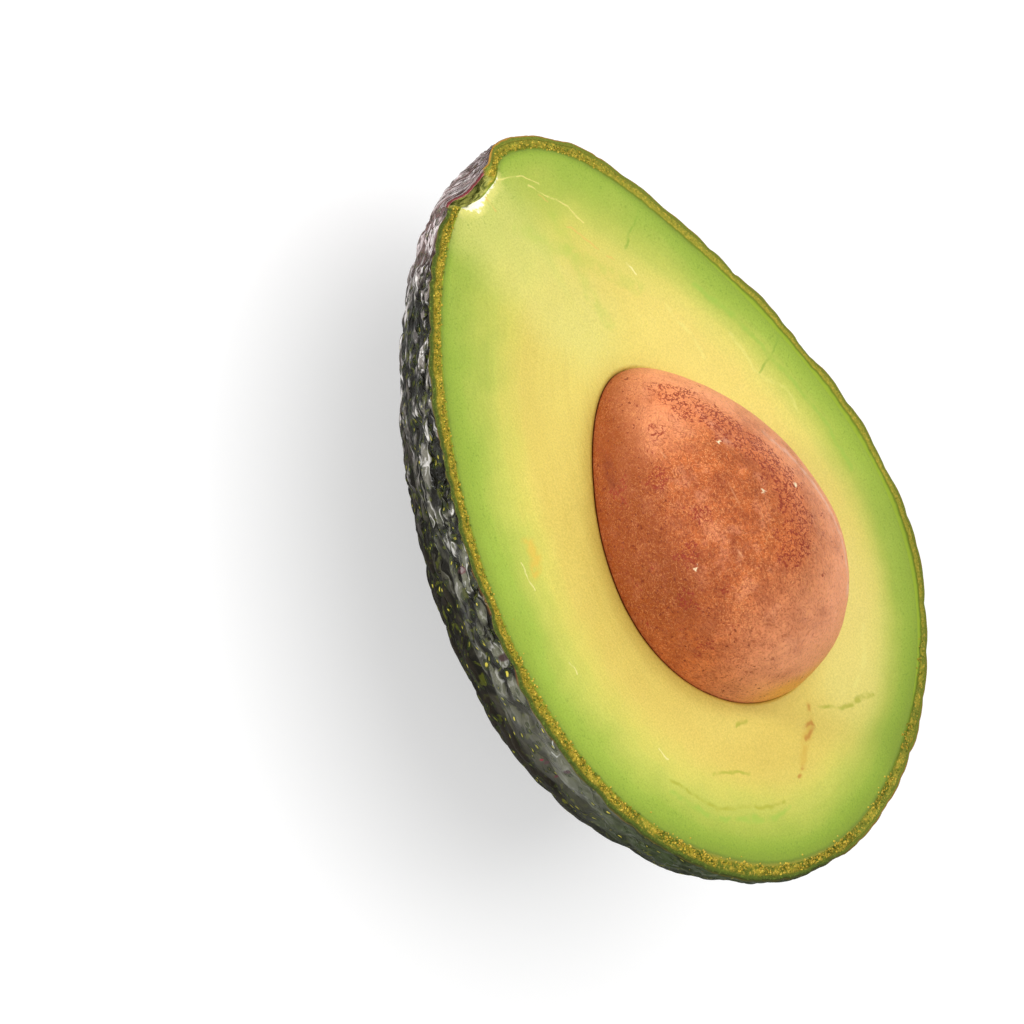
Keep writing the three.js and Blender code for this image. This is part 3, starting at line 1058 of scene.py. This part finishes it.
# Kinds of mark on the cut face: colour, width and strength, then the lines of that kind.
FLESH_MARKS = (
    ((234, 220, 126), 0.26, 0.65, (  # pale strands
        ((-48.7, 1.2), (-47.3, 4.9), (-45.4, 7.2)),
        ((-45.6, 5.4), (-42.9, 7.3), (-40.4, 9.4), (-37.7, 10.5)),
    )),
    # Pale lines of painted highlight along soft ridges in the cut face.
    ((238, 234, 136), 0.6, 0.25, (  # soft ridges
        ((-22, 15.6), (-18.7, 16.2), (-13.5, 16.7)),
        ((-14.4, 22.8), (-8.7, 23.1), (-3.7, 26.1), (-0.4, 26.1)),
        ((28.7, 18), (33.5, 14.6), (35.3, 11.8)),
    )),
    ((222, 180, 90), 0.28, 0.65, (  # orange strands
        ((-43.9, 5.9), (-42.2, 6.8)), ((-47, -1.6), (-44.9, -1.4)),
        ((-38.2, 7.4), (-36.1, 8.9), (-33.8, 9.9)), ((-32.3, 10.9), (-31.1, 11.7)),
    )),
    ((136, 166, 48), 0.38, 0.65, (  # green bruises
        ((-31.6, 14.3), (-32.6, 15.7), (-34.9, 19.5)),
        ((-10.5, 30.4), (-9.4, 27.8), (-7.9, 23.9)), ((-30.4, 24.5), (-29.6, 24.1)),
    )),
    ((228, 184, 66), 1.5, 0.6, (  # a yellow smear
        ((-6.4, -22.7), (-4, -22.6), (-2, -24.6)),
    )),
    ((246, 236, 168), 0.2, 0.7, (  # short scratches
        ((-4.4, -25.2), (-3, -25.5), (-0.4, -25.4)), ((10.1, -26.5), (11.8, -26.3)),
        ((26.3, -20.9), (28.2, -20.2)), ((-30, 13.4), (-27.9, 13.9)),
    )),
    # Olive lines of painted shade along creases in the cut face.
    ((172, 174, 50), 0.5, 0.8, (  # creases
        ((34.4, 5.3), (36.5, 9.4), (37.2, 13.5)), ((32.9, -15.7), (34.6, -12.5), (35.8, -10.7)),
        ((29.8, -8.4), (29.9, -6.9)),
        ((30.7, -21.8), (37.3, -17.4), (40.9, -11.7), (41.8, -7.8)),
    )),
    ((152, 186, 62), 0.7, 0.6, (  # green bands
        ((-22.6, 21.5), (-10.4, 26), (-2, 28.5), (10.4, 29.4)),
        ((31.6, -22.9), (38.4, -18.3), (42.2, -12.2), (43.1, -7.4)),
    )),
    ((160, 192, 64), 2, 0.24, (  # wide green streaks
        ((-40.1, 6.6), (-33.3, 5.6), (-24.3, 6)), ((-41.5, 0.7), (-31.1, 8.7), (-26.4, 13.2)),
        ((-9.6, -28.6), (3.1, -28.9), (9.7, -30.4)),
    )),
    ((204, 168, 62), 1.3, 0.7, (  # the stain round the blemish
        ((33.6, 3.6), (35.4, 2.1), (37, -0.1), (39.3, -2.6)),
    )),
    ((186, 130, 44), 0.65, 0.85, (  # the brown blemish
        ((33.6, 3.6), (34, 3.4)), ((35.3, 0.8), (35.3, 2.2), (36.2, 2.2), (36.8, 0.2)),
        ((39.3, -2.6), (39.4, -2.8)), ((40.2, -3.6), (40.3, -3.8)),
    )),
)


def hole_floor(g):
    """Olive fibres at the bottom of the stalk's hole."""
    fibre = g.noise(0.6, at=g.scale(g.place, y=0.3))
    return g.mix(g.rise(fibre, 0.38, 0.62), FLESH.dark_floor, FLESH.light_floor)


def paint_hole(g, colour):
    """The stalk's hole: a pale torn edge round an olive floor."""
    hole = g.value("hole")
    frayed = g.add(hole, g.times(g.noise(0.6, 4, 0.7), 2), -0.6)
    return g.coats(
        colour,
        (g.rise(frayed, 2.4, 0.7, 0, 0.6), FLESH.glow),
        (g.rise(frayed, 0.85, 0.55), FLESH.frayed),
        (g.rise(hole, -0.55, -0.8), hole_floor(g)),
    )


# Marks on the seed; each painted highlight streak is given as its line, width and share.
SEED_NET = ((-19, 0, 8), (-13, 2, 12), (-8, 4, 14), (-1, 4, 16), (4, 2, 17), (6, -1, 17))
SEED_PATCHES = (
    (-16.5, -5.5, 9.5), (-10.5, -9.5, 9.5), (-4, -8.5, 13), (0, -12, 11), (5, -14, 9),
    (-11, -12.5, 4.5), (12, -14.5, 7), (-9, 3.5, 13.5),
)
SEED_FLECKS = ((-2.7, 0, 16.1), (-1, 5.6, 15.5), (1.7, -12.2, 11.5), (-10.9, -0.5, 13.2))
SEED_SCRATCHES = (
    ((-13.6, -6.9, 9.6), (3.8, -7.3, 15.2)),
    ((-8, -3, 14.4), (2, -5, 16.4)),
)
SEED_SMEAR = ((-15.5, -10.4, 2.6), (-13.8, -11.3, 3), (-12, -11.8, 4))
SEED_HIGHLIGHTS = (
    (((-8.2, 8.3, 11.8), (0, 10.2, 13.1), (8.2, 10.5, 12.6), (15.5, 8.4, 10.8)), 1.3, 0.5),
    (((-16, 1, 11.2), (-10, 0.5, 14)), 1.5, 0.3),
)


def seed_colour(g, fibres):
    """Orange brown, finely mottled and paler at both ends; painted light makes the +y flank
    paler and painted shade darkens the -y side and the lower part.
    """
    mist = g.noise(6, 6, 0.7)
    tip = g.rise(g.add(g.x, g.times(mist, 8)), -6, -14)
    foot = g.times(g.rise(g.x, 4, 20), g.rise(g.y, -16, -4))
    # Painted light: the +y flank is paler.
    flank_light = g.rise(g.y, -1, 10)
    pale = g.times(g.add(0.1, g.times(tip, 0.9), g.times(foot, 1.4), g.times(flank_light, 1.2)), 0.75)
    pale = g.math("MULTIPLY", pale, g.rise(mist, 0.2, 0.62, 0.4, 1), clamp=True)
    # Painted shade: darker on the -y side and low down, less so towards the blossom end.
    left = g.rise(g.add(g.times(g.y, -1), g.times(g.z, -1.3), mist), -9, 4)
    crescent = g.times(g.rise(g.x, 11, 19), g.rise(g.z, 8, 4), g.rise(g.y, -10, -3))
    tone = g.rise(g.noise(3, 8, 0.72), 0.26, 0.74)
    colour = g.coats(
        g.mix(tone, SEED.dark, SEED.light),
        (pale, SEED.pale),
        (left, g.rise(g.x, 16, 2), SEED.left),
        (crescent, 0.9, SEED.crescent),
    )
    colour = seed_felt(g, colour, mist, left)
    worn = g.times(g.rise(fibres, 0.53, 0.37), g.rise(pale, 0.2, 0.9, 0.7, 0.4))
    return g.mix(worn, colour, g.mix(pale, SEED.dark_fibre, SEED.pale_fibre))


def seed_felt(g, colour, mist, left):
    """A pale bloom, a felt of short threads and dark specks on the coat."""
    bloom = g.rise(g.noise(3.4, 5, 0.65), 0.5, 0.66, 0, 0.35)
    threads = g.ridge(g.noise(0.45, 2, at=g.wander(1, 0.2)))
    felt = g.times(g.rise(threads, 0.035, 0.01), g.rise(mist, 0.35, 0.6, 0.25, 0.6))
    specks = g.rise(g.noise(0.5, 2), 0.64, 0.69)
    # The bloom and felt fade, and the specks thicken, where the painted shade falls.
    return g.coats(
        colour,
        (bloom, g.rise(left, 0, 0.8, 1, 0.25), SEED.bloom),
        (felt, g.rise(left, 0, 1, 1.1, 0.5), SEED.felt),
        (specks, g.rise(left, 0, 0.6, 0.2, 0.85), SEED.speck),
    )


def paint_seed(g, colour):
    """Scratches, painted highlight streaks and a smear on the seed's coat, and flecks of old
    coat.
    """
    for points in SEED_SCRATCHES:
        colour = g.stroke(colour, g.place, SEED.scratch, 0.3, 0.6, points)
    # Streaks of painted highlight along the seed's +y side and towards its tip.
    highlight_warp = g.wander(2, 0.5)
    for points, width, share in SEED_HIGHLIGHTS:
        colour = g.stroke(colour, highlight_warp, SEED.haze, width, share, points)
    colour = g.stroke(colour, g.wander(1.5, 0.4), SEED.smear, 1.6, 0.6, SEED_SMEAR)
    colour = seed_net(g, colour)
    winding = g.wander(0.5, 0.3)
    for fleck in SEED_FLECKS:
        away = g.vector_math("DISTANCE", winding, fleck, "Value")
        colour = g.mix(g.rise(away, 0.4, 0.2), colour, SEED.fleck)
    return colour


def seed_net(g, colour):
    """Dark winding threads along a line and in a few patches."""
    near = g.rise(g.line_distance(g.place, SEED_NET), 1, 4, 1, 0)
    colour = g.mix(g.times(near, 0.3), colour, SEED.warm)
    for middle in SEED_PATCHES:
        away = g.vector_math("DISTANCE", g.place, middle, "Value")
        near = g.math("MAXIMUM", near, g.rise(away, 0.5, 2.6, 1, 0))
    thread = g.ridge(g.noise(0.75, 2, at=g.wander(0.7, 0.25)))
    patchy = g.add(g.noise(1.7, 3, 0.6), g.times(near, 0.3))
    net = g.times(g.rise(thread, 0.06, 0.028), g.rise(patchy, 0.62, 0.71))
    return g.mix(g.times(net, 0.85), colour, SEED.net)


def seed_material():
    g = Graph("avocado_seed", "local")
    fibres = g.noise(0.3, 4, 0.75, g.scale(g.wander(2.5, 0.5), 0.7))
    colour = paint_seed(g, seed_colour(g, fibres))
    height = g.times(fibres, 0.25)
    return g.finish(colour, rough=0.45, specular=0.22, height=height, bump=0.8)


def build_skin():
    mesh = make_mesh("peel", *skin_rows(), sharp=CUT_ANGLE)
    depths = mesh.attributes["depth"].data
    for face in mesh.polygons:
        cut = any(depths[corner].value > 0 for corner in face.vertices)
        face.material_index = int(cut)
    add_object(mesh, "skin", "avocado_skin", skin_material(), rim_material())


def build_crumbs():
    points, tint = crumb_rows()
    mesh = make_mesh("peel_crumbs", points, {"fruit": points, "tint": tint})
    add_object(mesh, "skin", "avocado_skin", crumb_material())


def build_flesh():
    rows, turn, edge, seat = flesh_rows()
    inset = length((rows - edge)[..., :2]) * inward_share(edge, seat)
    attributes = {
        "fruit": rows,
        "depth": SKIN + inset,
        "along": TYPICAL_ARC * np.abs(turn) + 0 * inset,
        "hole": hole_distance(rows),
        "seat": length((rows - seat)[..., :2]),
    }
    mesh = make_mesh("cut_flesh", rows, attributes, sharp=CUT_ANGLE)
    add_object(mesh, "flesh", "avocado_flesh", flesh_material())


def build_seed():
    local = seed_rows()
    mesh = make_mesh("seed_coat", seed_to_fruit(local), {"local": local})
    add_object(mesh, "seed", "avocado_seed", seed_material())


def add_looking(data, back, target, distance, roll=0):
    """A light or camera that looks at a target from the direction `back`."""
    made = bpy.data.objects.new(data.name, data)
    made.location = Vector(target) + back * distance
    made.rotation_mode = "QUATERNION"
    turn = Matrix.Rotation(np.radians(roll), 3, "Z").to_quaternion()
    made.rotation_quaternion = back.to_track_quat("Z", "Y") @ turn
    bpy.context.scene.collection.objects.link(made)
    return made


def add_light(name, direction, size, power):
    """A round light a metre from the half, in a direction in the row's frame."""
    data = bpy.data.lights.new(name, "AREA")
    data.shape = "DISK"
    data.size = size
    data.energy = power
    add_looking(data, Vector(direction).normalized(), LIT_POINT, 1)


def add_floor():
    bpy.ops.mesh.primitive_plane_add(size=FLOOR["size"], location=(0, 0, 0))
    floor = bpy.context.object
    floor.name = "floor"
    g = Graph("floor", place=None)
    g.set(Base_Color=FLOOR["colour"], Roughness=0.35)
    g.set(Emission_Color=WHITE, Emission_Strength=FLOOR["glow"])
    floor.data.materials.append(g.material)


def add_studio():
    """The floor, an even white surround and three lights."""
    add_floor()
    world = bpy.data.worlds.new("studio")
    bpy.context.scene.world = world
    world.use_nodes = True
    background = world.node_tree.nodes["Background"]
    background.inputs["Color"].default_value = WHITE
    background.inputs["Strength"].default_value = WORLD_STRENGTH
    for name, light in LIGHTS.items():
        add_light(name, *light)
    bpy.context.scene.view_settings.view_transform = "Standard"


def add_camera():
    azimuth, elevation = np.radians(CAMERA["azimuth"]), np.radians(CAMERA["elevation"])
    level = np.cos(elevation)
    back = (np.sin(azimuth) * level, -np.cos(azimuth) * level, np.sin(elevation))
    data = bpy.data.cameras.new("camera")
    data.lens = CAMERA["lens"]
    target, distance = Vector(CAMERA["aim"]) * MM, CAMERA["distance"] * MM
    bpy.context.scene.camera = add_looking(data, Vector(back), target, distance, CAMERA["roll"])


build_skin()
build_crumbs()
build_flesh()
build_seed()
add_studio()
add_camera()
